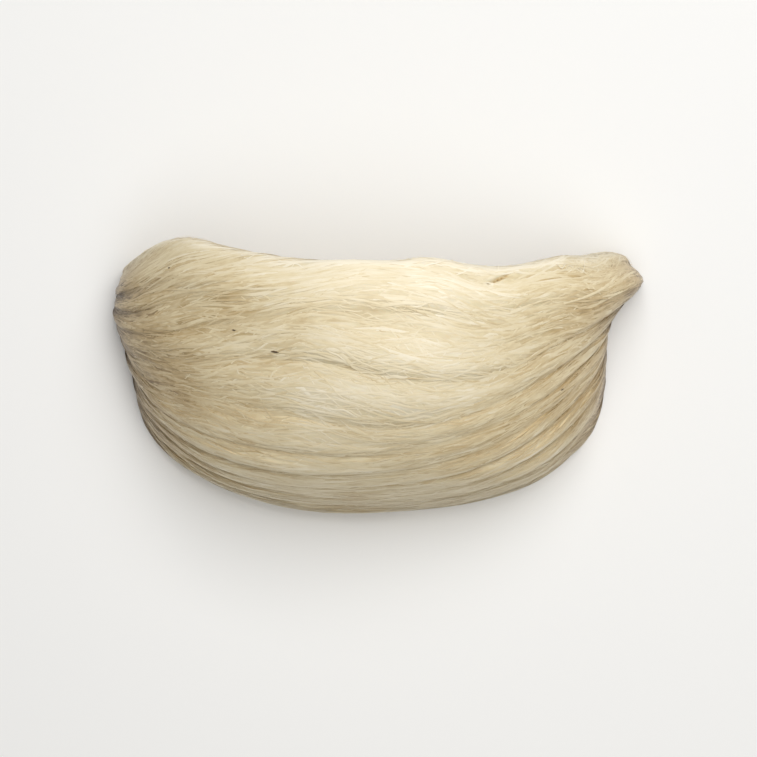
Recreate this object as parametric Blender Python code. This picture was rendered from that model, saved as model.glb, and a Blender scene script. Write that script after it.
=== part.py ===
"""An edible bird's nest: one half cup of dried strands, lying on the face where it left the wall.

X runs along the nest from its left foot to its right foot. Y runs towards the open rim.
Z runs out from the wall, so the face that was cut from the wall lies on the ground at Z 0.
The origin is in the middle of the nest's box, on the ground. Lengths below are in millimetres.
"""

from typing import NamedTuple

import bmesh
import bpy
import numpy as np

METRES = 0.001

# Driving dimensions of the nest
HALF_LENGTH = 46.3
RIM_Y = 17.05
DEPTH = 40.9
REACH = 38.0
RIM_WALL = 2.6
CUT_WALL = 5.6
FOOT_WALL = 7.5

# How blunt the plan and the front view are: 1 is an ellipse, and less is fuller
PLAN_POWER = 0.80
FRONT_POWER = 0.90
BELLY_POWER = 0.82
LIP_DEPTH = 0.14
LIP_LEAN = 0.05

# Waves of the rim: (place as a share of the half length, width as a share of it, height)
RIM_WAVES = (
    (-1.00, 0.07, -0.9),
    (-0.80, 0.17, 4.2),
    (-0.55, 0.17, 1.9),
    (-0.15, 0.25, 1.1),
    (0.22, 0.12, 1.1),
    (0.50, 0.12, -0.4),
    (0.76, 0.13, 0.5),
    (1.00, 0.09, 1.6),
)
RIM_WAVE_FADE = 0.38

# Where the left lobe and the right ear stand out furthest, and how far they reach, as shares of the way down
LOBE_DOWN = 0.28
LOBE_SPREAD = 0.42
EAR_DOWN = 0.10
EAR_SPREAD = 0.15

# The bands of strands that the bird laid one above another, each lapping the one below
BANDS = 10.0
BAND_HEIGHT = 0.90
BAND_CREST = 0.62
LUMP_HEIGHT = 1.1
ROLL_HEIGHT = 0.6
ROLL_WIDTH = 0.055

# The relief grows from this share at the rim to its full height this share of the way down
RELIEF_AT_RIM = 0.35
RELIEF_FULL_DOWN = 0.06
# How round the top of the rim is: 1 is a half circle
RIM_ROUNDNESS = 0.9
# Nothing but the cut edge itself comes nearer to the wall than this
LEAST_HEIGHT = 0.05
SHARP_EDGE = 55

# Facets along the nest, down its outside, down its inside and over its rim
ALONG = 80
DOWN_OUTSIDE = 34
DOWN_INSIDE = 14
OVER_RIM = 4

CREAM = (0.76, 0.65, 0.44, 1.0)


class Skin(NamedTuple):
    """One side of the cup wall: the outside that bulges out, or the hollow inside."""

    left: float
    right: float
    left_lobe: float
    right_ear: float
    foot_top: float
    left_foot: float
    right_foot: float
    depth: float
    reach: float
    thinning: float


OUTSIDE = Skin(
    left=HALF_LENGTH - 4.5,
    right=HALF_LENGTH - 6.5,
    left_lobe=4.5,
    right_ear=6.5,
    foot_top=1.2,
    left_foot=20.5,
    right_foot=18.0,
    depth=DEPTH,
    reach=REACH,
    thinning=0.0,
)
INSIDE = Skin(
    left=OUTSIDE.left - FOOT_WALL + 3.0,
    right=OUTSIDE.right - FOOT_WALL + 2.5,
    left_lobe=0.0,
    right_ear=0.0,
    foot_top=0.6,
    left_foot=13.5,
    right_foot=12.0,
    depth=DEPTH - CUT_WALL,
    reach=REACH - RIM_WALL,
    thinning=CUT_WALL - RIM_WALL,
)


def bell(value, centre, width):
    """A smooth bump of height 1."""
    return np.exp(-(((value - centre) / width) ** 2))


def rim_rise(side):
    """How far the rim stands above its straight line, at a share of the half length."""
    return sum(height * bell(side, place, width) for place, width, height in RIM_WAVES)


def skin_points(skin, along, down):
    """Points of one side of the wall.

    along runs from -1 at the left foot to 1 at the right foot, and down from 0 at the rim
    to 1 at the lower edge of the cut face. Lines of one down are how the strands lie.
    """
    side = np.sin(along * np.pi / 2)
    arch = np.clip(np.cos(along * np.pi / 2), 0, 1)
    turn = down * np.pi / 2

    lobes = np.where(
        side < 0,
        skin.left_lobe * bell(down, LOBE_DOWN, LOBE_SPREAD),
        skin.right_ear * bell(down, EAR_DOWN, EAR_SPREAD),
    )
    half = np.where(side < 0, skin.left, skin.right) + lobes * side**6
    x = half * side

    foot_height = np.where(side < 0, skin.left_foot, skin.right_foot)
    foot_y = RIM_Y + skin.foot_top - foot_height * down
    centre_y = RIM_Y - skin.depth * np.sin(turn)
    share = arch**FRONT_POWER
    wave = np.clip(1 - down / RIM_WAVE_FADE, 0, 1) ** 2
    y = foot_y * (1 - share) + centre_y * share + rim_rise(side) * wave

    lip = np.clip(1 - down / LIP_DEPTH, 0, 1) ** 2
    belly = np.clip(np.cos(turn), 0, 1) ** BELLY_POWER
    wall_taken = skin.thinning * np.sin(turn) * belly
    z = arch**PLAN_POWER * (skin.reach * belly * (1 - LIP_LEAN * lip) - wall_taken)
    return np.stack(np.broadcast_arrays(x, y, z), axis=-1)


def lumps(along, down):
    """Low swellings and hollows a thumb wide, from -1 to 1."""
    return (
        0.45 * np.sin(3.7 * along + 4.4 * down + 0.6)
        + 0.30 * np.sin(7.9 * along - 5.2 * down + 2.1)
        + 0.25 * np.sin(5.3 * along + 10.7 * down + 4.0)
    )


def bands(along, down):
    """Height of the laid bands, from 0 in a groove to 1 on a crest. They drift, fork and fade."""
    drift = 0.60 * np.sin(1.9 * along + 0.7) + 0.35 * np.sin(5.1 * along + 3.0 * down + 2.4)
    spread = 0.75 * along * np.sin(3.5 * down + 0.5) + 0.45 * np.sin(8.0 * down + 2.2 * along + 1.0)
    phase = BANDS * down + drift + spread
    step = phase - np.floor(phase)
    rise = np.clip(step / BAND_CREST, 0, 1)
    fall = np.clip((1 - step) / (1 - BAND_CREST), 0, 1)
    fading = np.sin(4.3 * along - 7.0 * down + 0.9) * np.sin(2.7 * along + 11.0 * down + 2.0)
    strength = np.clip(0.50 + 0.55 * fading, 0.08, 1)
    return strength * np.sin(rise * np.pi / 2) * np.sin(fall * np.pi / 2)


def outside_relief(along, down):
    """How far the outside stands off its smooth form: swellings, bands and the rolled rim."""
    feet = 1 - 0.6 * np.abs(along) ** 5
    laid = BAND_HEIGHT * (bands(along, down) - 0.4) * np.clip(down / ROLL_WIDTH - 1, 0, 1)
    roll = ROLL_HEIGHT * bell(down, ROLL_WIDTH, ROLL_WIDTH)
    return feet * (LUMP_HEIGHT * lumps(along, down) + laid + roll)


def inside_relief(along, down):
    """How far the hollow's surface stands off its smooth form."""
    return -0.8 * LUMP_HEIGHT * lumps(along * 1.3 + 0.4, down * 1.2)


def relieved_skin(skin, relief, facets_down):
    """The grid of points of one side of the wall, with its relief, flat where it was cut."""
    along, down = np.meshgrid(
        np.linspace(-1, 1, ALONG + 1), np.linspace(0, 1, facets_down + 1), indexing="ij"
    )
    points = skin_points(skin, along, down)
    normals = np.cross(np.gradient(points, axis=1), np.gradient(points, axis=0))
    normals /= np.linalg.norm(normals, axis=-1, keepdims=True)
    rim_ease = np.clip(down / RELIEF_FULL_DOWN, RELIEF_AT_RIM, 1)
    points += normals * (relief(along, down) * rim_ease)[..., None]
    points[..., 2] = np.maximum(points[..., 2], LEAST_HEIGHT)
    points[[0, -1], :, 2] = 0
    points[:, -1, 2] = 0
    return points


def rim_points(outer_edge, inner_edge):
    """Rows of points that round the rim over from its outer edge to its inner edge."""
    middle = (outer_edge + inner_edge) / 2
    half_wall = (outer_edge - inner_edge) / 2
    thickness = np.linalg.norm(half_wall, axis=-1)
    rows = []
    for turn in np.linspace(0, np.pi, OVER_RIM + 1)[1:-1]:
        row = middle + half_wall * np.cos(turn)
        row[:, 1] += np.minimum(thickness, RIM_WALL) * RIM_ROUNDNESS * np.sin(turn)
        rows.append(row)
    return rows


def nest_mesh():
    """One closed mesh: the outside, the rim, the hollow and the flat cut face."""
    outer = relieved_skin(OUTSIDE, outside_relief, DOWN_OUTSIDE)
    inner = relieved_skin(INSIDE, inside_relief, DOWN_INSIDE)
    rows = [outer[:, j] for j in range(DOWN_OUTSIDE, -1, -1)]
    rows += rim_points(outer[:, 0], inner[:, 0])
    rows += [inner[:, j] for j in range(DOWN_INSIDE + 1)]

    mesh = bmesh.new()
    grid = [[mesh.verts.new(point * METRES) for point in row] for row in rows]
    for row, next_row in zip(grid, grid[1:]):
        for i in range(ALONG):
            mesh.faces.new((row[i], row[i + 1], next_row[i + 1], next_row[i]))
    cut_edges = [edge for edge in mesh.edges if edge.is_boundary]
    bmesh.ops.triangle_fill(mesh, edges=cut_edges, use_beauty=True, use_dissolve=False)
    bmesh.ops.recalc_face_normals(mesh, faces=mesh.faces)
    return mesh


def dried_strands():
    """Cream, satin, dried strands."""
    material = bpy.data.materials.new("dried_strands")
    material.use_nodes = True
    surface = material.node_tree.nodes["Principled BSDF"]
    surface.inputs["Base Color"].default_value = CREAM
    surface.inputs["Roughness"].default_value = 0.55
    surface.inputs["Metallic"].default_value = 0.0
    return material


def main():
    for old in list(bpy.data.objects):
        bpy.data.objects.remove(old)
    shape = nest_mesh()
    data = bpy.data.meshes.new("nest")
    shape.to_mesh(data)
    shape.free()
    data.shade_smooth()
    data.set_sharp_from_angle(angle=np.radians(SHARP_EDGE))
    data.materials.append(dried_strands())
    nest = bpy.data.objects.new("nest", data)
    bpy.context.scene.collection.objects.link(nest)


main()
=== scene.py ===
"""An edible bird's nest, dressed: fine dried strands laid over one half cup, on a pale table.

X runs along the nest from its left foot to its right foot, Y towards the open rim, and Z out
from the face that was cut from the wall, which lies on the table at Z 0. Lengths are in
millimetres until a mesh is made, which turns them to metres. A place on the wall is given by
along, from -1 at the left foot to 1 at the right foot, and by down, from 0 at the rim to 1 at
the lower edge of the cut face.
"""

from __future__ import annotations

import logging
from collections.abc import Callable
from dataclasses import dataclass
from enum import Enum

import bmesh
import bpy
import numpy as np
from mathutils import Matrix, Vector

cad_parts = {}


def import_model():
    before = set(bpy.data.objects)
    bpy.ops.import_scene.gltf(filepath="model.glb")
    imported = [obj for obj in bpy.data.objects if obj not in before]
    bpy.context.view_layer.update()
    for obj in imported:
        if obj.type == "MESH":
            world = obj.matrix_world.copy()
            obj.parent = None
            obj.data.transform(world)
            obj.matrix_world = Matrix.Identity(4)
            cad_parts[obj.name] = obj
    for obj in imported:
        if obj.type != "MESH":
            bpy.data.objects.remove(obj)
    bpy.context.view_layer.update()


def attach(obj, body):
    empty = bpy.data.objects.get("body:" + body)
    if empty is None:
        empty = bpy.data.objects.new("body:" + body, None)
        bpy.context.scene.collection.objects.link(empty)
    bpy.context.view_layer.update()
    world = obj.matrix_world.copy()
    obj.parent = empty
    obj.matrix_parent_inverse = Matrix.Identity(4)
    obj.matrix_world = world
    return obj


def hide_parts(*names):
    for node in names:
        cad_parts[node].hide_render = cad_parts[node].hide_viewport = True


log = logging.getLogger("nest")

Array = np.ndarray
Relief = Callable[[Array, Array], Array]
Range = tuple[float, float]
Place = tuple[float, float, float]
Waves = tuple[tuple[float, float, float, float], ...]
Material = bpy.types.Material
Mesh = bpy.types.Mesh
Node = bpy.types.Node
Object = bpy.types.Object
Socket = bpy.types.NodeSocket

METRES = 0.001
NODE = "nest"
BODY = "root"

# Real lengths of the front, which turn shares of it to millimetres
FRONT_LENGTH = 132.0
FRONT_DROP = 64.0

# The rim's height, the wall's thickness there, and how far down the rim's waves fade out
RIM_Y = 17.05
RIM_WALL = 2.6
RIM_WAVE_FADE = 0.38
# Waves of the rim: (place as a share of the half length, width as a share of it, height)
RIM_WAVES = (
    (-1.00, 0.07, -0.9),
    (-0.80, 0.17, 4.2),
    (-0.55, 0.17, 1.9),
    (-0.15, 0.25, 1.1),
    (0.22, 0.12, 1.1),
    (0.50, 0.12, -0.4),
    (0.76, 0.13, 0.5),
    (1.00, 0.09, 1.6),
)

# How blunt the plan and the front view are: 1 is an ellipse, and less is fuller
PLAN_POWER = 0.80
FRONT_POWER = 0.90
BELLY_POWER = 0.82
LIP_DEPTH = 0.14
LIP_LEAN = 0.05

# Where the left lobe and the right ear stand out furthest, and how far they reach
LOBE_DOWN = 0.28
LOBE_SPREAD = 0.42
EAR_DOWN = 0.10
EAR_SPREAD = 0.15
LOBE_POWER = 6

# The laid bands, the swellings and the rolled rim
BANDS = 10.0
BAND_HEIGHT = 0.90
BAND_CREST = 0.62
LUMP_HEIGHT = 1.1
ROLL_HEIGHT = 0.6
ROLL_WIDTH = 0.055
RELIEF_AT_RIM = 0.35
RELIEF_FULL_DOWN = 0.06
RIM_ROUNDNESS = 0.9
LEAST_HEIGHT = 0.05

# Sine waves over the wall: (height, radians for each step along and down, start)
LUMPS = ((0.45, 3.7, 4.4, 0.6), (0.30, 7.9, -5.2, 2.1), (0.25, 5.3, 10.7, 4.0))
BAND_DRIFTS = ((0.60, 1.9, 0.0, 0.7), (0.35, 5.1, 3.0, 2.4))
BAND_SPREADS = ((0.45, 2.2, 8.0, 1.0),)
BAND_FADE_WIDE = ((1.0, 4.3, -7.0, 0.9),)
BAND_FADE_NARROW = ((1.0, 2.7, 11.0, 2.0),)

# The bands fan out towards the feet: how far, and the radians and start of the fan's wave
FAN = 0.75
FAN_TURN = 3.5
FAN_START = 0.5

# How strong a band usually is, how much that changes, and the faintest band
BAND_STRENGTH = 0.50
BAND_FADING = 0.55
BAND_FAINTEST = 0.08
# The usual height of a band, from which its relief and tone are counted
BAND_MEAN = 0.4

# The relief loses this much at the feet, and mostly close to them
FOOT_RELIEF_LOSS = 0.6
FOOT_RELIEF_POWER = 5

# The hollow's swellings: their share of the front's, how much closer they are, and their shift
HOLLOW_RELIEF = 0.8
HOLLOW_ALONG = 1.3
HOLLOW_DOWN = 1.2
HOLLOW_SHIFT = 0.4

# The half-round top of the rim is the stretch of the front from this far above its edge to 0
RIM_SHARE = 0.064
# The front's strands reach this share of the way over it
RIM_REACH = 0.95

# How far wisps of strands sway from the bands, over what length and width
SWAY = 0.60
SWAY_LENGTH = 11.0
SWAY_WIDTH = 6.5
SWAY_SEED = 7

# How the place of a laid line is found: tries, the share of the gap that each closes, and the limits
LINE_TRIES = 30
LINE_STEP = 0.6
LINE_DOWNS = (-0.2, 1.2)

# The slit under the rim's notch: place along and down, length, width, depth and slant. It begins
# at its top, just over the rim's edge, and has its full depth a fade further down
SLIT_ALONG = 0.330
SLIT_DOWN = 0.010
SLIT_LENGTH = 2.5
SLIT_WIDTH = 0.29
SLIT_DEPTH = 1.0
SLIT_SLANT = 0.43
SLIT_TOP = -0.012
SLIT_FADE = 0.012
# A strand bridges the slit if it crosses where the slit is deeper than this share of its depth
SLIT_BRIDGED = 0.6
SLIT_TRIES = 8

# Flecks of down left in the nest: (place along, place down, length)
FLECKS = ((-0.267, 0.22, 1.5), (-0.605, 0.05, 0.7), (-0.388, 0.18, 0.8), (0.58, 0.44, 0.9))

# The strands stop this share of the way to the cut, a hair above the table
CUT_END = 0.9995
# The fine relief fades out over this share of the wall beside the cut
CUT_FADE = 0.03

# Corners round each strand
CORNERS = 4

# Steps of random relief along and across the strands, enough for the finest fibres
NOISE_STEPS = (64, 512)

# How strands sway: the radians of a slow and a quick wave along each, their starts and shares
SLOW_TURNS = (3.0, 7.0)
QUICK_TURNS = (9.0, 17.0)
WAVE_STARTS = (0.0, 6.3)
SLOW_SHARE = 0.7
QUICK_SHARE = 0.3
# The sway of each strand, and the lift of each, as shares of what its set is given
WANDERS = (0.2, 1.0)
LIFTS = (0.2, 1.6)

# More than 1 makes most strands of a set short
SHORT_POWER = 1.6
# The steepest strand of a set, as a multiple of its usual slant
STEEPEST = 1.6
# Half the width of a strand's tip, and how far below the surface its ends are sunk
TIP = 0.012
SUNK = 0.22
# The third number of the strands' lay grows by this from one strand to the next
STRAND_STEP = 3.7

# How much painted light a band's crest gives the wall and the strands on it, and painted shade its
# grooves
BAND_PAINTED_SHADING = 0.16

# How much painted shade darkens the left foot, the right foot's share of that, and how close to the feet
# it stays
FOOT_PAINTED_SHADE = 0.54
RIGHT_FOOT_SHARE = 0.82
FOOT_TONE_POWER = 2.0

# The step that finds which way the wall faces, and the least lengths that are divided by
FACING_STEP = 0.004
TINY = 1e-9
LEAST_THICKNESS = 1e-6


def linear(code: str) -> tuple[float, float, float, float]:
    """Turns an sRGB hex colour to Blender's linear one.

    Args:
        code: six hex digits after a hash, such as "#E0D2B0".

    Returns:
        Linear red, green, blue and an alpha of 1.
    """
    parts = [int(code[i : i + 2], 16) / 255 for i in (1, 3, 5)]
    made = [c / 12.92 if c <= 0.04045 else ((c + 0.055) / 1.055) ** 2.4 for c in parts]
    return made[0], made[1], made[2], 1.0


def bell(value: Array, centre: float, width: float) -> Array:
    """A smooth bump of height 1."""
    return np.exp(-(((value - centre) / width) ** 2))


def unit(directions: Array) -> Array:
    """The same directions with a length of 1."""
    return directions / np.maximum(np.linalg.norm(directions, axis=-1, keepdims=True), TINY)


def eased(share: Array) -> Array:
    """Shares from 0 to 1 that start and stop softly."""
    return share * share * (3 - 2 * share)


def ripples(waves: Waves, along: Array, down: Array) -> Array:
    """Adds up sine waves that run over the wall.

    Args:
        waves: the height of each, its radians for each step along and down, and its start.
        along: where along the nest.
        down: how far down it.

    Returns:
        Their sum at each place.
    """
    return sum(
        height * np.sin(turn_along * along + turn_down * down + start)
        for height, turn_along, turn_down, start in waves
    )


def soft_noise(u: Array, v: Array, seed: int) -> Array:
    """Smooth random heights from -1 to 1, one random height for each whole step of u and v.

    Args:
        u: place along the strands, in steps from 0.
        v: place across the strands, in steps from 0.
        seed: which pattern.

    Returns:
        The height at each place.
    """
    heights = np.random.default_rng(seed).uniform(-1, 1, NOISE_STEPS)
    i = u.astype(int)
    j = v.astype(int)
    a = eased(u - i)
    b = eased(v - j)
    near = heights[i, j] * (1 - a) + heights[i + 1, j] * a
    far = heights[i, j + 1] * (1 - a) + heights[i + 1, j + 1] * a
    return near * (1 - b) + far * b


@dataclass(frozen=True)
class Skin:
    """The smooth form of one side of the cup wall, with the sizes that set it."""

    left: float
    right: float
    left_lobe: float
    right_ear: float
    foot_top: float
    left_foot: float
    right_foot: float
    depth: float
    reach: float
    thinning: float

    def points(self, along: Array, down: Array) -> Array:
        """Points of this side.

        Args:
            along: where along the nest.
            down: how far down it.

        Returns:
            The points, in millimetres.
        """
        along = np.clip(along, -1, 1)
        down = np.clip(down, 0, 1)
        side = np.sin(along * np.pi / 2)
        arch = np.clip(np.cos(along * np.pi / 2), 0, 1)
        turn = down * np.pi / 2
        lobe = self.left_lobe * bell(down, LOBE_DOWN, LOBE_SPREAD)
        ear = self.right_ear * bell(down, EAR_DOWN, EAR_SPREAD)
        spread = np.where(side < 0, lobe, ear) * side**LOBE_POWER
        half = np.where(side < 0, self.left, self.right) + spread

        foot_height = np.where(side < 0, self.left_foot, self.right_foot)
        foot_y = RIM_Y + self.foot_top - foot_height * down
        centre_y = RIM_Y - self.depth * np.sin(turn)
        share = arch**FRONT_POWER
        wave = np.clip(1 - down / RIM_WAVE_FADE, 0, 1) ** 2
        rise = sum(height * bell(side, place, width) for place, width, height in RIM_WAVES)
        y = foot_y * (1 - share) + centre_y * share + rise * wave

        lip = np.clip(1 - down / LIP_DEPTH, 0, 1) ** 2
        belly = np.clip(np.cos(turn), 0, 1) ** BELLY_POWER
        wall_taken = self.thinning * np.sin(turn) * belly
        z = arch**PLAN_POWER * (self.reach * belly * (1 - LIP_LEAN * lip) - wall_taken)
        return np.stack(np.broadcast_arrays(half * side, y, z), axis=-1)

    def normals(self, along: Array, down: Array) -> Array:
        """Unit directions out of the smooth form, worked out from points a small step apart."""
        across = self.points(along, down + FACING_STEP) - self.points(along, down - FACING_STEP)
        lengthwise = self.points(along + FACING_STEP, down) - self.points(along - FACING_STEP, down)
        return unit(np.cross(across, lengthwise))


OUTSIDE = Skin(
    left=41.8,
    right=39.8,
    left_lobe=4.5,
    right_ear=6.5,
    foot_top=1.2,
    left_foot=20.5,
    right_foot=18.0,
    depth=40.9,
    reach=38.0,
    thinning=0.0,
)
INSIDE = Skin(
    left=37.3,
    right=34.8,
    left_lobe=0.0,
    right_ear=0.0,
    foot_top=0.6,
    left_foot=13.5,
    right_foot=12.0,
    depth=35.3,
    reach=35.4,
    thinning=3.0,
)


def lumps(along: Array, down: Array) -> Array:
    """Low swellings and hollows a thumb wide, from -1 to 1."""
    return ripples(LUMPS, along, down)


def band_drift(along: Array, down: Array) -> Array:
    """How far the laid bands stray from level, counted in bands."""
    fan = FAN * along * np.sin(FAN_TURN * down + FAN_START)
    return ripples(BAND_DRIFTS, along, down) + (fan + ripples(BAND_SPREADS, along, down))


def bands(along: Array, down: Array) -> Array:
    """Height of the laid bands. They drift, fork and fade.

    Args:
        along: where along the nest.
        down: how far down it.

    Returns:
        The height at each place, from 0 in a groove to 1 on a crest.
    """
    phase = BANDS * down + band_drift(along, down)
    step = phase - np.floor(phase)
    rise = np.clip(step / BAND_CREST, 0, 1)
    fall = np.clip((1 - step) / (1 - BAND_CREST), 0, 1)
    fading = ripples(BAND_FADE_WIDE, along, down) * ripples(BAND_FADE_NARROW, along, down)
    strength = np.clip(BAND_STRENGTH + BAND_FADING * fading, BAND_FAINTEST, 1)
    return strength * np.sin(rise * np.pi / 2) * np.sin(fall * np.pi / 2)


def outside_relief(along: Array, down: Array) -> Array:
    """How far the outside stands off its smooth form: swellings, bands and the rolled rim.

    Args:
        along: where along the nest.
        down: how far down it.

    Returns:
        The height at each place, in millimetres.
    """
    feet = 1 - FOOT_RELIEF_LOSS * np.abs(along) ** FOOT_RELIEF_POWER
    below_roll = np.clip(down / ROLL_WIDTH - 1, 0, 1)
    laid = BAND_HEIGHT * (bands(along, down) - BAND_MEAN) * below_roll
    roll = ROLL_HEIGHT * bell(down, ROLL_WIDTH, ROLL_WIDTH)
    return feet * (LUMP_HEIGHT * lumps(along, down) + laid + roll)


def inside_relief(along: Array, down: Array) -> Array:
    """How far the hollow's surface stands off its smooth form."""
    return -HOLLOW_RELIEF * LUMP_HEIGHT * lumps(along * HOLLOW_ALONG + HOLLOW_SHIFT, down * HOLLOW_DOWN)


def laid_line(along: Array, down: Array) -> Array:
    """Which laid line a place is on. The strands follow lines of one value, in wisps that sway.

    Args:
        along: where along the nest.
        down: how far down it.

    Returns:
        The line at each place, counted as shares of the way down.
    """
    u = (along + 1) / 2 * FRONT_LENGTH / SWAY_LENGTH
    v = (down + 1) * FRONT_DROP / SWAY_WIDTH
    return down + band_drift(along, down) / BANDS + SWAY / FRONT_DROP * soft_noise(u, v, SWAY_SEED)


def down_of(line: Array, along: Array) -> Array:
    """Finds how far down a laid line runs.

    Args:
        line: the value of laid_line that the strand follows.
        along: where along the nest.

    Returns:
        The way down, found by steps that each close in on it.
    """
    down = line.copy()
    for _ in range(LINE_TRIES):
        down = down + LINE_STEP * (line - laid_line(along, np.clip(down, *LINE_DOWNS)))
    return down


@dataclass(frozen=True)
class PaintedHighlight:
    """A painted highlight: a part of the wall painted lighter where light falls, with its middle and its
    reach down and along.
    """

    amount: float
    down: float
    down_reach: float
    along: float = 0.0
    along_reach: float = np.inf

    def lightening(self, along: Array, down: Array) -> Array:
        """How much painted light it gives each place."""
        near_along = bell(along, self.along, self.along_reach)
        return self.amount * near_along * bell(down, self.down, self.down_reach)


# Painted highlights: along the thin rim from foot to foot, a pool of light right of the middle, and on
# the left hump
PAINTED_HIGHLIGHTS = (
    PaintedHighlight(0.24, down=-0.020, down_reach=0.016),
    PaintedHighlight(0.13, down=0.08, down_reach=0.30, along=0.30, along_reach=0.26),
    PaintedHighlight(0.13, down=0.02, down_reach=0.13, along=-0.50, along_reach=0.20),
)


def painted_light_and_shade(along: Array, down: Array) -> Array:
    """How much painted light and shade move the wall from its usual tone.

    Args:
        along: where along the nest.
        down: how far down it.

    Returns:
        More than 0 in the painted highlights, and less than 0 in the painted shade at the feet, the left
        one above all.
    """
    # Painted shade at the feet, the left one above all
    foot = FOOT_PAINTED_SHADE * np.where(along < 0, 1.0, RIGHT_FOOT_SHARE)
    lightening = sum(place.lightening(along, down) for place in PAINTED_HIGHLIGHTS)
    return lightening - foot * np.abs(along) ** FOOT_TONE_POWER


@dataclass(frozen=True)
class Wall:
    """One side of the wall with all its relief, down to the cords that single strands make."""

    skin: Skin
    relief: Relief
    cord_height: float
    fibre_height: float
    cord_width: float = 1.15
    cord_length: float = 13.0
    fibre_width: float = 0.42
    fibre_length: float = 7.0
    swell_height: float = 0.30
    swell_width: float = 3.4
    swell_length: float = 12.0
    seed: int = 11
    is_front: bool = False

    def lay(self, along: Array, down: Array) -> tuple[Array, Array]:
        """Millimetres along and across the strands at each place."""
        across = (laid_line(along, down) + 1) * FRONT_DROP
        return (along + 1) / 2 * FRONT_LENGTH, across

    def fine(self, along: Array, down: Array) -> Array:
        """The fine relief, faded out where the wall was cut.

        Args:
            along: where along the nest.
            down: how far down it.

        Returns:
            The height of the swells, cords and fibres together, in millimetres.
        """
        length, across = self.lay(along, down)
        cords = soft_noise(length / self.cord_length, across / self.cord_width, self.seed)
        fibres = soft_noise(length / self.fibre_length, across / self.fibre_width, self.seed + 1)
        swells = soft_noise(length / self.swell_length, across / self.swell_width, self.seed + 2)
        from_foot = np.clip((1 - np.abs(along)) / CUT_FADE, 0, 1)
        from_cut = np.clip((1 - down) / CUT_FADE, 0, 1)
        height = self.swell_height * swells + self.cord_height * cords + self.fibre_height * fibres
        return height * (from_foot * from_cut)

    def slit(self, along: Array, down: Array) -> Array:
        """Depth of the slit where two bundles part at the rim's notch, on the front alone.

        Args:
            along: where along the nest.
            down: how far down it.

        Returns:
            The depth at each place, in millimetres.
        """
        if not self.is_front:
            return 0 * along
        run = (along - SLIT_ALONG) / 2 * FRONT_LENGTH
        across = (down - SLIT_DOWN) * FRONT_DROP + SLIT_SLANT * run
        front = np.clip((down - SLIT_TOP) / SLIT_FADE, 0, 1)
        return front * SLIT_DEPTH * np.exp(-((run / SLIT_LENGTH) ** 2) - (across / SLIT_WIDTH) ** 2)

    def side(self, along: Array, down: Array, lift: Array | float = 0.0) -> tuple[Array, Array]:
        """Points and outward directions on this side alone, below its rim edge.

        Args:
            along: where along the nest.
            down: how far down it.
            lift: millimetres above the surface.

        Returns:
            The points, in millimetres, and the unit directions out of the wall there.
        """
        ease = np.clip(down / RELIEF_FULL_DOWN, RELIEF_AT_RIM, 1)
        height = (self.relief(along, down) + self.fine(along, down)) * ease + lift
        out = self.skin.normals(along, down)
        return self.skin.points(along, down) + out * height[..., None], out

    def surface(self, along: Array, down: Array, lift: Array | float = 0.0) -> tuple[Array, Array]:
        """Points on the wall, or a lift above it, kept off the table.

        Args:
            along: where along the nest.
            down: how far down the wall, or less than 0 on the half-round top of the rim.
            lift: millimetres above the surface.

        Returns:
            The points, in millimetres, and the unit directions out of the wall there.
        """
        height = lift - self.slit(along, down)
        points, out = self.side(along, np.maximum(down, 0), height)
        if down.min() < 0:
            turn = np.clip(-down / RIM_SHARE, 0, 1) * np.pi
            top, top_out = rim_top(along, turn)
            raised = self.fine(along, down) * np.sin(turn) + height
            on_top = (down < 0)[..., None]
            points = np.where(on_top, top + top_out * raised[..., None], points)
            out = np.where(on_top, top_out, out)
        points[..., 2] = np.maximum(points[..., 2], LEAST_HEIGHT)
        return points, out


FRONT = Wall(OUTSIDE, outside_relief, cord_height=0.09, fibre_height=0.03, is_front=True)
HOLLOW = Wall(INSIDE, inside_relief, cord_height=0.14, fibre_height=0.04, cord_width=1.6, seed=31)


def rim_top(along: Array, turn: Array) -> tuple[Array, Array]:
    """The half-round top of the rim.

    Args:
        along: where along the nest.
        turn: 0 at the front edge of the rim to pi at the edge of the hollow.

    Returns:
        Points, in millimetres, and the unit directions out of the rim there.
    """
    outer, _ = FRONT.side(along, np.zeros_like(along))
    inner, _ = HOLLOW.side(along, np.zeros_like(along))
    half_wall = (outer - inner) / 2
    thickness = np.linalg.norm(half_wall, axis=-1)
    points = (outer + inner) / 2 + half_wall * np.cos(turn)[..., None]
    points[..., 1] += np.minimum(thickness, RIM_WALL) * RIM_ROUNDNESS * np.sin(turn)
    out = half_wall / np.maximum(thickness, LEAST_THICKNESS)[..., None] * np.cos(turn)[..., None]
    out[..., 1] += np.sin(turn)
    return points, unit(out)


def mesh_object(name: str, points: Array, faces: Array, tint: Array, lay: Array) -> Object:
    """Makes a shaded object of points and faces, with what its finish reads.

    Args:
        name: the piece's name.
        points: corners, in millimetres.
        faces: rows of corner numbers.
        tint: how light each corner is, about 0 to 1.
        lay: millimetres along and across the strands, and a number for the strand, at each corner.

    Returns:
        The object, linked to the scene.
    """
    mesh = bpy.data.meshes.new(name)
    mesh.from_pydata((points.reshape(-1, 3) * METRES).tolist(), [], faces.reshape(-1, 4).tolist())
    mesh.shade_smooth()
    tints = mesh.attributes.new("tint", "FLOAT", "POINT")
    tints.data.foreach_set("value", tint.astype(np.float32).ravel())
    lays = mesh.attributes.new("lay", "FLOAT_VECTOR", "POINT")
    lays.data.foreach_set("vector", lay.astype(np.float32).ravel())
    piece = bpy.data.objects.new(name, mesh)
    bpy.context.scene.collection.objects.link(piece)
    return piece


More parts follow.
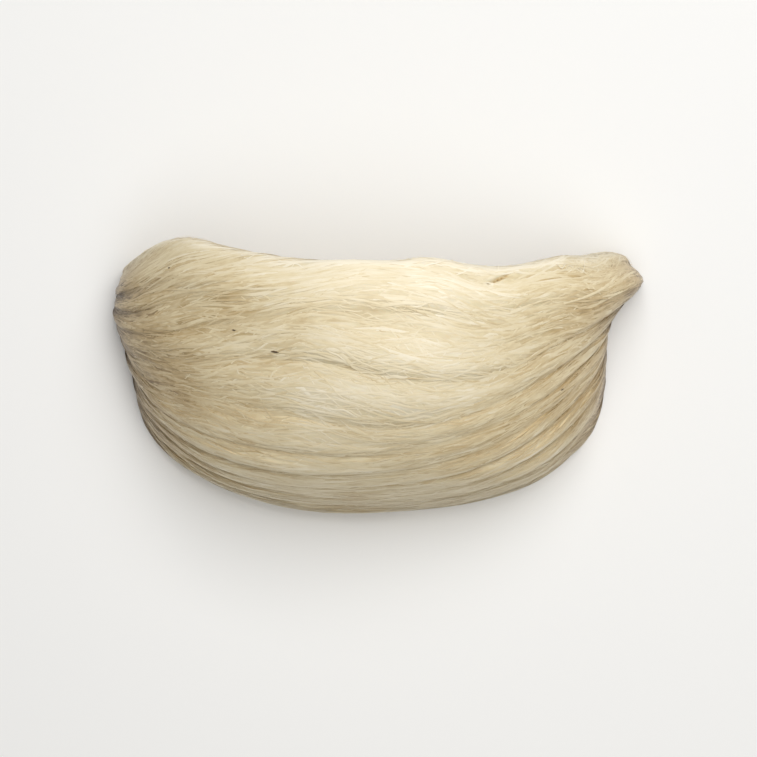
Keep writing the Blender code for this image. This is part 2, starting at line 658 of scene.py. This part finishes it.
def add_node(
    material: Material,
    kind: str,
    settings: dict[str, object] | None = None,
    values: dict[str | int, object] | None = None,
    links: dict[str | int, Socket] | None = None,
) -> Node:
    """Adds one node to a material.

    Args:
        material: what it is added to.
        kind: Blender's name for the node's kind.
        settings: properties of the node.
        values: values of its inputs, by name or number.
        links: outputs of other nodes that feed its inputs, by name or number.

    Returns:
        The new node.
    """
    node = material.node_tree.nodes.new(kind)
    for name, value in (settings or {}).items():
        setattr(node, name, value)
    for name, value in (values or {}).items():
        node.inputs[name].default_value = value
    for name, source in (links or {}).items():
        material.node_tree.links.new(source, node.inputs[name])
    return node


@dataclass(frozen=True)
class DriedSaliva:
    """Swiftlet saliva, drawn into strands and air dried.

    It dries to a cloudy, horn-like gel: light goes a little way in, so edges glow and grooves
    stay warm, while the drawn surface has a soft silk shine along the strands.

    The colours run from tan to light as the tone rises. Lengths, widths and sizes are in
    millimetres. The tone of streaks, wisps and patches is how far each moves the tint from
    end to end, and the shift brings the whole back to the tint.
    """

    light: str = "#F6ECD4"
    middle: str = "#E6D6B0"
    deep: str = "#C9B082"
    # Reached mostly where painted shade lowers the tint, at the feet and in the slit
    tan: str = "#80643A"
    light_at: float = 0.80
    middle_at: float = 0.45
    deep_at: float = 0.20
    roughness: float = 0.50
    bending: float = 1.5
    streak_length: float = 4.0
    streak_width: float = 0.70
    streak_tone: float = 0.20
    hair_length: float = 2.0
    hair_width: float = 0.245
    wisp_length: float = 7.0
    wisp_width: float = 2.0
    wisp_tone: float = 0.75
    patch_size: float = 16.0
    patch_tone: float = 0.36
    tone_shift: float = -0.50
    bump_height: float = 0.02
    bump_strength: float = 0.55
    glow_depth: float = 2.2
    glow_share: float = 0.15
    glow_colour: tuple[float, float, float] = (1.0, 0.72, 0.42)
    silk: float = 0.12
    silk_roughness: float = 0.4

    def make(self, name: str) -> Material:
        """Builds the material.

        Args:
            name: the material's name.

        Returns:
            The material, with its streaks set by real lengths.
        """
        material = bpy.data.materials.new(name)
        material.use_nodes = True
        surface = material.node_tree.nodes["Principled BSDF"]
        lay = add_node(material, "ShaderNodeAttribute", {"attribute_name": "lay"})
        colour = self.colour(material, self.mixed_tone(material, lay))
        material.node_tree.links.new(colour, surface.inputs["Base Color"])
        hairs = self.streaks(material, lay, self.hair_length, self.hair_width)
        bump = add_node(
            material,
            "ShaderNodeBump",
            values={"Strength": self.bump_strength, "Distance": self.bump_height * METRES},
            links={"Height": hairs},
        )
        material.node_tree.links.new(bump.outputs["Normal"], surface.inputs["Normal"])
        surface.inputs["Roughness"].default_value = self.roughness
        surface.inputs["IOR"].default_value = self.bending
        surface.inputs["Subsurface Weight"].default_value = self.glow_share
        surface.inputs["Subsurface Radius"].default_value = self.glow_colour
        surface.inputs["Subsurface Scale"].default_value = self.glow_depth * METRES
        surface.inputs["Sheen Weight"].default_value = self.silk
        surface.inputs["Sheen Roughness"].default_value = self.silk_roughness
        return material

    def colour(self, material: Material, tone: Socket) -> Socket:
        """Turns a tone from 0 to 1 to one of the colours from tan to light."""
        ramp = add_node(material, "ShaderNodeValToRGB", links={"Fac": tone})
        first, last = ramp.color_ramp.elements
        first.position = 0.0
        first.color = linear(self.tan)
        last.position = self.light_at
        last.color = linear(self.light)
        ramp.color_ramp.elements.new(self.deep_at).color = linear(self.deep)
        ramp.color_ramp.elements.new(self.middle_at).color = linear(self.middle)
        return ramp.outputs["Color"]

    def streaks(self, material: Material, lay: Node, length: float, width: float) -> Socket:
        """Noise drawn out along the strands.

        Args:
            material: what it is added to.
            lay: the node that reads millimetres along and across the strands.
            length: real length of a streak, in millimetres.
            width: real width of a streak, in millimetres.

        Returns:
            The noise, from 0 to 1.
        """
        scaled = add_node(
            material,
            "ShaderNodeVectorMath",
            {"operation": "MULTIPLY"},
            {1: (1 / length, 1 / width, 1.0)},
            {0: lay.outputs["Vector"]},
        )
        noise = add_node(
            material,
            "ShaderNodeTexNoise",
            values={"Scale": 1.0, "Detail": 3.0, "Roughness": 0.6},
            links={"Vector": scaled.outputs["Vector"]},
        )
        return noise.outputs["Fac"]

    def patches(self, material: Material) -> Socket:
        """Broad noise, of a real size, that runs through the nest without regard to its strands."""
        place = add_node(material, "ShaderNodeTexCoord")
        noise = add_node(
            material,
            "ShaderNodeTexNoise",
            values={"Scale": 1 / (self.patch_size * METRES), "Detail": 2.0, "Roughness": 0.5},
            links={"Vector": place.outputs["Object"]},
        )
        return noise.outputs["Fac"]

    def weighed(self, material: Material, source: Socket, share: float, rest: Socket | float) -> Socket:
        """Adds a share of one amount to another.

        Args:
            material: what the node is added to.
            source: the amount that a share is taken of.
            share: how much of it is taken.
            rest: what it is added to, another node's output or a number.

        Returns:
            The sum.
        """
        values = {1: share}
        links = {0: source}
        if isinstance(rest, Socket):
            links[2] = rest
        else:
            values[2] = rest
        node = add_node(material, "ShaderNodeMath", {"operation": "MULTIPLY_ADD"}, values, links)
        return node.outputs[0]

    def mixed_tone(self, material: Material, lay: Node) -> Socket:
        """Adds streaks, patches and wisps to the tint that the shapes carry.

        Args:
            material: what the nodes are added to.
            lay: the node that reads millimetres along and across the strands.

        Returns:
            The tone, which the noises change both ways from the tint.
        """
        tint = add_node(material, "ShaderNodeAttribute", {"attribute_name": "tint"})
        streaks = self.streaks(material, lay, self.streak_length, self.streak_width)
        wisps = self.streaks(material, lay, self.wisp_length, self.wisp_width)
        streaked = self.weighed(material, streaks, self.streak_tone, self.tone_shift)
        patched = self.weighed(material, self.patches(material), self.patch_tone, -self.patch_tone / 2)
        wisped = self.weighed(material, wisps, self.wisp_tone, patched)
        both = self.weighed(material, streaked, 1.0, wisped)
        return self.weighed(material, both, 1.0, tint.outputs["Fac"])


@dataclass(frozen=True)
class SwiftletDown(DriedSaliva):
    """The swiftlet's own down, stuck in the saliva: dull dark brown, with no glow of its own."""

    light: str = "#8A7658"
    middle: str = "#6A563C"
    deep: str = "#4A3B2A"
    tan: str = "#33291D"
    glow_share: float = 0.0


@dataclass(frozen=True)
class MattBoard:
    """A matt painted board, too rough for a lamp to show in it."""

    colour: str = "#F3F2EF"
    roughness: float = 0.9

    def make(self, name: str) -> Material:
        """Builds the material under the given name."""
        material = bpy.data.materials.new(name)
        material.use_nodes = True
        surface = material.node_tree.nodes["Principled BSDF"]
        surface.inputs["Base Color"].default_value = linear(self.colour)
        surface.inputs["Roughness"].default_value = self.roughness
        return material


class SubAssembly:
    """One part of the dressed nest, which builds its own mesh and dresses it."""

    def build(self) -> Object:
        """Builds the mesh. Each sub-assembly has its own way."""
        raise NotImplementedError

    def dress(self, piece: Object, finish: Material) -> None:
        """Gives a piece its finish and says where it belongs in the frame."""
        piece.data.materials.append(finish)
        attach(piece, BODY)


@dataclass
class NestBody(SubAssembly):
    """The cup wall itself: one closed skin with every band, cord and fibre as real relief."""

    along: int = 170
    down_front: int = 380
    down_hollow: int = 120
    over_rim: int = 18
    tone: float = 0.38
    # Painted light on the swellings and painted shade in their dips, then painted shade in the slit and
    # in the hollow
    lump_painted_shading: float = 0.06
    slit_painted_shade: float = 0.5
    hollow_painted_shade: float = 0.06

    def places_along(self) -> Array:
        """Where the corners of each row lie along the nest."""
        return np.linspace(-1, 1, self.along + 1)

    def rim_shares(self) -> Array:
        """How far over the rim each row of its top lies, from 0 to 1."""
        return np.linspace(0, 1, self.over_rim + 1)[1:-1]

    def side_rows(self, wall: Wall, count: int) -> list[Array]:
        """Rows of points of one side, flat where it was cut.

        Args:
            wall: the side.
            count: steps from the rim to the cut.

        Returns:
            The rows, from the rim down.
        """
        downs = np.linspace(0, 1, count + 1)
        along, down = np.meshgrid(self.places_along(), downs, indexing="ij")
        points, _ = wall.surface(along, down)
        points[[0, -1], :, 2] = 0
        points[:, -1, 2] = 0
        return [points[:, j] for j in range(count + 1)]

    def rim_rows(self) -> list[Array]:
        """Rows of points that round the rim over from its outer edge to its inner edge."""
        along = self.places_along()
        rows = []
        for share in self.rim_shares():
            row, _ = FRONT.surface(along, np.full_like(along, -RIM_SHARE * share))
            row[[0, -1], 2] = 0
            rows.append(row)
        return rows

    def places(self) -> tuple[Array, Array]:
        """Where every corner lies along and down, row by row from the front's cut to the hollow's."""
        front = np.linspace(1, 0, self.down_front + 1)
        hollow = np.linspace(0, 1, self.down_hollow + 1)
        downs = np.concatenate([front, -RIM_SHARE * self.rim_shares(), hollow])
        down, along = np.meshgrid(downs, self.places_along(), indexing="ij")
        return along, down

    def tints(self, along: Array, down: Array) -> Array:
        """How light each corner is.

        Args:
            along: where along the nest, row by row.
            down: how far down it, row by row.

        Returns:
            Painted light and shade: lighter on the crests of the bands and swellings and in the painted
            highlights, and darker in the grooves, at the feet, in the slit and in the hollow.
        """
        # Painted light on the crests of the bands and swellings, painted shade in their grooves and dips
        tint = self.tone + BAND_PAINTED_SHADING * bands(along, down) + self.lump_painted_shading * lumps(along, down)
        tint = tint + painted_light_and_shade(along, down)
        # Painted shade in the slit and in the hollow
        tint -= self.slit_painted_shade * FRONT.slit(along, down) / SLIT_DEPTH
        tint[-self.down_hollow - 1 :] -= self.hollow_painted_shade
        return tint

    def build(self) -> Object:
        """Builds the closed skin.

        Returns:
            The piece that stands for the whole nest's solid.
        """
        front = self.side_rows(FRONT, self.down_front)
        points = np.array(front[::-1] + self.rim_rows() + self.side_rows(HOLLOW, self.down_hollow))
        along, down = self.places()
        length, across = FRONT.lay(along, down)
        lay = np.stack([length, across, np.zeros_like(length)], axis=-1)
        corner = np.arange(along.size).reshape(along.shape)
        faces = np.stack([corner[:-1, :-1], corner[:-1, 1:], corner[1:, 1:], corner[1:, :-1]], axis=-1)
        piece = mesh_object("nest_body", points, faces, self.tints(along, down), lay)
        self.close_cut(piece.data)
        return piece

    def close_cut(self, data: Mesh) -> None:
        """Fills the flat face that was cut from the wall, and turns every face outwards.

        Args:
            data: the mesh, which is changed.
        """
        shape = bmesh.new()
        shape.from_mesh(data)
        edges = [edge for edge in shape.edges if edge.is_boundary]
        bmesh.ops.triangle_fill(shape, edges=edges, use_beauty=True, use_dissolve=False)
        bmesh.ops.recalc_face_normals(shape, faces=shape.faces)
        shape.to_mesh(data)
        shape.free()
        data.shade_smooth()

    def dress(self, piece: Object, finish: Material) -> None:
        """Dresses the skin, which takes the place of the solid in the frame."""
        super().dress(piece, finish)
        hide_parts(NODE)


def ringed(centre: Array, out: Array, half_width: Array, flatness: float) -> Array:
    """Four corners round each point of many strands.

    Args:
        centre: the strands' own points, strand by strand.
        out: the direction out of the wall at each.
        half_width: half of each strand's width there.
        flatness: the strands' thickness as a share of their width.

    Returns:
        The corners, with one more axis for the four.
    """
    run = unit(np.gradient(centre, axis=1))
    across = unit(np.cross(out, run))
    out = np.cross(run, across)
    ring = [across, out * flatness, -across, -out * flatness]
    points = np.stack([centre + part * half_width[..., None] for part in ring], axis=2)
    points[..., 2] = np.maximum(points[..., 2], LEAST_HEIGHT)
    return points


def tube_lay(wall: Wall, along: Array, down: Array, number: Array | float) -> Array:
    """What the finish reads of how strands lie.

    Args:
        wall: the side of the wall that they lie on.
        along: where each ring of each strand is along the nest.
        down: how far down it is.
        number: a number for each strand, which sets its streaks apart from those beside it.

    Returns:
        Millimetres along and across the strands, and the number, at each corner.
    """
    length, across = wall.lay(along, down)
    lay = np.stack([length, across, number + 0 * along], axis=-1)
    return np.repeat(lay[:, :, None, :], CORNERS, axis=2)


def tube_faces(count: int, rings: int) -> Array:
    """Faces of many closed tubes whose corners are numbered strand by strand, ring by ring.

    Args:
        count: how many tubes.
        rings: rings in each tube.

    Returns:
        Rows of four corner numbers.
    """
    corner = np.arange(rings * CORNERS).reshape(rings, CORNERS)
    near = corner[:-1]
    far = corner[1:]
    walls = np.stack([near, np.roll(near, -1, 1), np.roll(far, -1, 1), far], axis=-1).reshape(-1, 4)
    caps = np.array([corner[0, ::-1], corner[-1]])
    one = np.concatenate([walls, caps])
    return (one[None] + (np.arange(count) * rings * CORNERS)[:, None, None]).reshape(-1, 4)


def split_sides(data: Mesh) -> None:
    """Parts the shading at both side edges of flattened tubes, so that their tops shade softly.

    Args:
        data: the mesh of the tubes, which is changed.
    """
    ends = np.empty(len(data.edges) * 2, dtype=np.int32)
    data.edges.foreach_get("vertices", ends)
    corner = ends.reshape(-1, 2) % CORNERS
    sides = (corner[:, 0] == corner[:, 1]) & (corner[:, 0] % 2 == 0)
    data.attributes.new("sharp_edge", "BOOLEAN", "EDGE").data.foreach_set("value", sides)


class Lay(Enum):
    """How a set of strands lies: how steeply it usually crosses the laid lines, as rise over run."""

    FOLLOWING = 0.055
    CROSSING = 0.12
    FELTED = 0.20
    WEB = 3.0


@dataclass
class Strands(SubAssembly):
    """A set of dried strands, each a flattened closed tube with sunk, tapered ends.

    Lengths, widths, lift, wander and free_end are in millimetres. The middle of each strand
    lies within downs and span, and flatness is its thickness as a share of its width.
    """

    name: str
    wall: Wall
    count: int
    seed: int
    lay: Lay = Lay.FOLLOWING
    rings: int = 20
    longest: float = 62.0
    shortest: float = 16.0
    widest: float = 0.62
    narrowest: float = 0.26
    flatness: float = 0.26
    lift: float = 0.03
    wander: float = 0.6
    free_end: float = 0.0
    taper: float = 0.7
    tone: float = 0.50
    tone_spread: float = 0.028
    downs: Range = (-0.05, 0.99)
    span: Range = (-1.0, 1.0)

    def drawn(self, rng: np.random.Generator, limits: Range) -> Array:
        """One random number within the limits for each strand."""
        return rng.uniform(*limits, (self.count, 1))

    def slants(self, rng: np.random.Generator) -> Array:
        """How steeply each strand crosses the laid lines.

        Args:
            rng: the source of random sizes.

        Returns:
            Rise over run for each strand.
        """
        if self.lay is Lay.WEB:
            steepest = np.arctan(self.lay.value)
            return np.tan(self.drawn(rng, (-steepest, steepest)))
        most = STEEPEST * self.lay.value
        return np.clip(rng.normal(0, self.lay.value, (self.count, 1)), -most, most)

    def strayed(self, rng: np.random.Generator, t: Array) -> Array:
        """How far each strand sways from its straight run, in a slow and a quick wave.

        Args:
            rng: the source of random sizes.
            t: how far along itself each ring is, from 0 to 1.

        Returns:
            Millimetres at each ring.
        """
        slow = np.sin(t * self.drawn(rng, SLOW_TURNS) + self.drawn(rng, WAVE_STARTS))
        quick = np.sin(t * self.drawn(rng, QUICK_TURNS) + self.drawn(rng, WAVE_STARTS))
        return (SLOW_SHARE * slow + QUICK_SHARE * quick) * self.wander * self.drawn(rng, WANDERS)

    def paths(self, rng: np.random.Generator) -> tuple[Array, Array, Array]:
        """Where each strand runs. A strand that would pass a foot's cut ends there.

        Args:
            rng: the source of random sizes.

        Returns:
            Places along, places down, and how far along itself each ring is, from 0 to 1.
        """
        short = rng.random((self.count, 1)) ** SHORT_POWER
        length = self.shortest + (self.longest - self.shortest) * short
        centre = self.drawn(rng, self.span)
        line = laid_line(centre, self.drawn(rng, self.downs))
        angle = np.arctan(self.slants(rng))
        half = length / FRONT_LENGTH * np.cos(angle)
        # The shares of the strand at which it meets the left and the right foot's cut
        first = np.clip((centre - half + CUT_END) / (-2 * half), 0, 1)
        last = np.clip((CUT_END - centre + half) / (2 * half), 0, 1)
        t = first + (last - first) * np.linspace(0, 1, self.rings)[None, :]
        run = (t * 2 - 1) * half
        across = run * FRONT_LENGTH * np.tan(angle) + self.strayed(rng, t)
        along = np.clip(centre + run, -CUT_END, CUT_END)
        down = down_of(line + across / FRONT_DROP, along)
        least = -RIM_REACH * RIM_SHARE if self.wall.is_front else 0.0
        return along, np.clip(down, least, CUT_END), t

    def clear_of_slit(self, along: Array, down: Array) -> Array:
        """Which strands don't bridge the slit, tried at several places between every two rings.

        Args:
            along: where each ring of each strand is along the nest.
            down: how far down it is.

        Returns:
            True for each strand that may stay.
        """
        # It stops just short of the last ring, so that every place has a ring after it
        place = np.linspace(0, self.rings - 1.001, SLIT_TRIES * self.rings)
        ring = place.astype(int)
        share = place - ring
        between_along = along[:, ring] * (1 - share) + along[:, ring + 1] * share
        between_down = down[:, ring] * (1 - share) + down[:, ring + 1] * share
        depth = self.wall.slit(between_along, between_down).max(axis=1)
        return depth < SLIT_BRIDGED * SLIT_DEPTH

    def heights(self, rng: np.random.Generator, t: Array, taper: Array) -> Array:
        """How far each ring lies above the wall.

        Args:
            rng: the source of random sizes.
            t: how far along itself each ring is, from 0 to 1.
            taper: how thick each ring is, as a share of the strand's thickest.

        Returns:
            Millimetres, less than 0 at ends that are sunk and more at ends that are free.
        """
        sunk = (1 - taper) ** 2 * (self.lift + SUNK)
        freed = self.free_end * rng.random((self.count, 1)) * t**2
        return self.lift * self.drawn(rng, LIFTS) - sunk * (self.free_end == 0) + freed

    def tints(self, rng: np.random.Generator, along: Array, down: Array) -> Array:
        """How light each corner is.

        Args:
            rng: the source of the strands' random tones.
            along: where each ring of each strand is along the nest.
            down: how far down it is.

        Returns:
            The strand's own tone, changed by the painted light and shade of the bands and of its place
            on the wall.
        """
        tone = self.tone + self.tone_spread * rng.standard_normal((self.count, 1))
        # Painted light on band crests and painted shade in their grooves, with the wall's painted
        # highlights and foot shade
        shade = BAND_PAINTED_SHADING * (bands(along, down) - BAND_MEAN) + painted_light_and_shade(along, down)
        return np.repeat((tone + shade)[..., None], CORNERS, axis=2)

    def build(self) -> Object:
        """Builds the set as one mesh.

        Returns:
            The piece, with each strand's own tint.
        """
        rng = np.random.default_rng(self.seed)
        along, down, t = self.paths(rng)
        width = self.drawn(rng, (self.narrowest, self.widest))
        taper = np.clip(np.sin(np.pi * t), 0, 1) ** self.taper
        half_width = np.maximum(width / 2 * taper, TIP)
        centre, out = self.wall.surface(along, down, self.heights(rng, t, taper))
        points = ringed(centre, out, half_width, self.flatness)
        tint = self.tints(rng, along, down)
        lay = tube_lay(self.wall, along, down, np.arange(self.count)[:, None] * STRAND_STEP)
        kept = self.clear_of_slit(along, down)
        faces = tube_faces(int(kept.sum()), self.rings)
        piece = mesh_object(self.name, points[kept], faces, tint[kept], lay[kept])
        split_sides(piece.data)
        return piece


@dataclass
class DownFlecks(SubAssembly):
    """Flecks of the bird's own down, caught under the front's strands."""

    rings: int = 9
    width: float = 0.36
    thinnest: float = 0.02
    flatness: float = 0.35
    lift: float = 0.10
    tone: float = 0.4

    def build(self) -> Object:
        """Builds the flecks as one mesh of small flattened tubes.

        Returns:
            The piece.
        """
        flecks = np.array(FLECKS)
        lengths = flecks[:, 2:]
        t = np.linspace(-1, 1, self.rings)[None, :]
        along = flecks[:, :1] + t * lengths / FRONT_LENGTH
        down = flecks[:, 1:2] + 0 * t
        half_width = np.maximum(self.width / 2 * (1 - t**2), self.thinnest)
        half_width = half_width * (lengths / lengths.max()) ** 0.5
        centre, out = FRONT.surface(along, down, self.lift + 0 * along)
        points = ringed(centre, out, half_width, self.flatness)
        tint = np.full(points.shape[:-1], self.tone)
        faces = tube_faces(len(FLECKS), self.rings)
        return mesh_object("down_flecks", points, faces, tint, tube_lay(FRONT, along, down, 0.0))


@dataclass(frozen=True)
class Lamp:
    """One soft square lamp. Its place, its size and what it is aimed at are in metres."""

    name: str
    place: Place
    size: float
    watts: float
    aim: Place = (0.0, 0.0, 0.015)

    def build(self) -> None:
        """Adds the lamp."""
        data = bpy.data.lights.new(self.name, "AREA")
        data.size = self.size
        data.energy = self.watts
        lamp = bpy.data.objects.new(self.name, data)
        lamp.location = self.place
        towards = Vector(self.aim) - Vector(self.place)
        lamp.rotation_euler = towards.to_track_quat("-Z", "Y").to_euler()
        bpy.context.scene.collection.objects.link(lamp)


@dataclass
class Studio:
    """A pale table, soft lamps and a camera that looks straight down on the nest."""

    frame_width: float = 128.0
    lens: float = 120.0
    sensor: float = 36.0
    focus_height: float = 0.018
    table_reach: float = 3.0
    air: str = "#F2F3F5"
    air_light: float = 0.15
    lamps: tuple[Lamp, ...] = (
        Lamp("window", (0.09, 0.25, 0.50), 0.44, 2.4),
        Lamp("front", (0.08, -0.12, 0.62), 0.50, 1.55),
    )

    def floor(self) -> None:
        """Lays the plain table under the nest."""
        reach = self.table_reach
        mesh = bpy.data.meshes.new("table")
        corners = [(-reach, -reach, 0), (reach, -reach, 0), (reach, reach, 0), (-reach, reach, 0)]
        mesh.from_pydata(corners, [], [(0, 1, 2, 3)])
        mesh.materials.append(MattBoard().make("matt_table"))
        table = bpy.data.objects.new("table", mesh)
        bpy.context.scene.collection.objects.link(table)

    def sky(self) -> None:
        """Fills the room with a faint even light."""
        world = bpy.data.worlds.new("air")
        world.use_nodes = True
        background = world.node_tree.nodes["Background"]
        background.inputs["Color"].default_value = linear(self.air)
        background.inputs["Strength"].default_value = self.air_light
        bpy.context.scene.world = world
        bpy.context.scene.view_settings.view_transform = "Standard"

    def camera(self) -> None:
        """Sets the camera over the nest, with the rim towards the top of the picture."""
        data = bpy.data.cameras.new("camera")
        data.lens = self.lens
        data.sensor_width = self.sensor
        distance = self.frame_width * METRES * self.lens / self.sensor
        camera = bpy.data.objects.new("camera", data)
        camera.location = (0.0, 0.0, distance + self.focus_height)
        bpy.context.scene.collection.objects.link(camera)
        bpy.context.scene.camera = camera

    def build(self) -> None:
        """Sets up the floor, lamps, sky and camera."""
        self.floor()
        for lamp in self.lamps:
            lamp.build()
        self.sky()
        self.camera()


def foot_felt(name: str, seed: int, span: Range) -> Strands:
    """The broader strands that lie over the rim at one foot."""
    return Strands(
        name, FRONT, 260, seed, Lay.CROSSING, rings=12, longest=24.0, shortest=6.0, widest=0.60,
        flatness=0.20, lift=0.04, tone=0.60, tone_spread=0.06, downs=(-0.062, 0.02), span=span,
    )


def strand_sets() -> list[Strands]:
    """The sets of strands, from those that cover the front to the web in the hollow."""
    return [
        Strands(
            "front_ribbons", FRONT, 620, 106, rings=15, longest=22.0, shortest=8.0, widest=1.0,
            narrowest=0.5, flatness=0.10, lift=0.0, tone=0.57, tone_spread=0.05, taper=1.1,
        ),
        Strands(
            "front_strands_a", FRONT, 1450, 101, rings=14, longest=32.0, shortest=8.0, widest=0.56,
            flatness=0.17,
        ),
        Strands(
            "front_strands_b", FRONT, 1800, 102, rings=12, longest=22.0, shortest=6.0, widest=0.38,
            narrowest=0.17, flatness=0.19,
        ),
        Strands(
            "front_crossings", FRONT, 300, 103, Lay.CROSSING, rings=16, longest=20.0, shortest=8.0,
            lift=0.04, widest=0.30, flatness=0.20,
        ),
        Strands(
            "front_felt", FRONT, 2600, 108, Lay.FELTED, rings=7, longest=10.0, shortest=2.5, widest=0.34,
            narrowest=0.14, flatness=0.18, lift=0.02, taper=1.0, tone=0.54, tone_spread=0.045,
        ),
        # The rim's strands and fluff carry higher tones, a painted highlight along the thin rim
        Strands("rim_strands", FRONT, 300, 104, downs=(-0.06, 0.05), lift=0.05, widest=0.5, tone=0.62),
        Strands(
            "rim_fluff", FRONT, 90, 107, Lay.FELTED, rings=10, longest=8.0, shortest=2.5, widest=0.26,
            narrowest=0.14, lift=0.02, free_end=0.5, tone=0.80, downs=(-0.055, 0.0),
            span=(-0.96, 0.96),
        ),
        foot_felt("left_foot_felt", 109, (-1.0, -0.62)),
        foot_felt("right_foot_felt", 110, (0.62, 1.0)),
        Strands(
            "hollow_web", HOLLOW, 680, 105, Lay.WEB, rings=18, longest=30.0, shortest=9.0, widest=0.8,
            narrowest=0.30, wander=1.7,
        ),
    ]


def add(part: SubAssembly, finish: Material) -> None:
    """Builds one sub-assembly, dresses it and reports it."""
    piece = part.build()
    part.dress(piece, finish)
    log.info("%s: %d faces", piece.name, len(piece.data.polygons))


def main() -> None:
    """Dresses the nest and sets up the studio."""
    logging.basicConfig(level=logging.INFO, format="%(message)s")
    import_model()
    add(NestBody(), DriedSaliva().make("dried_saliva_wall"))
    finish = DriedSaliva(glow_share=0.0, roughness=0.43).make("dried_saliva_strands")
    for strands in strand_sets():
        add(strands, finish)
    add(DownFlecks(), SwiftletDown().make("swiftlet_down"))
    Studio().build()


if __name__ == "__main__":
    main()
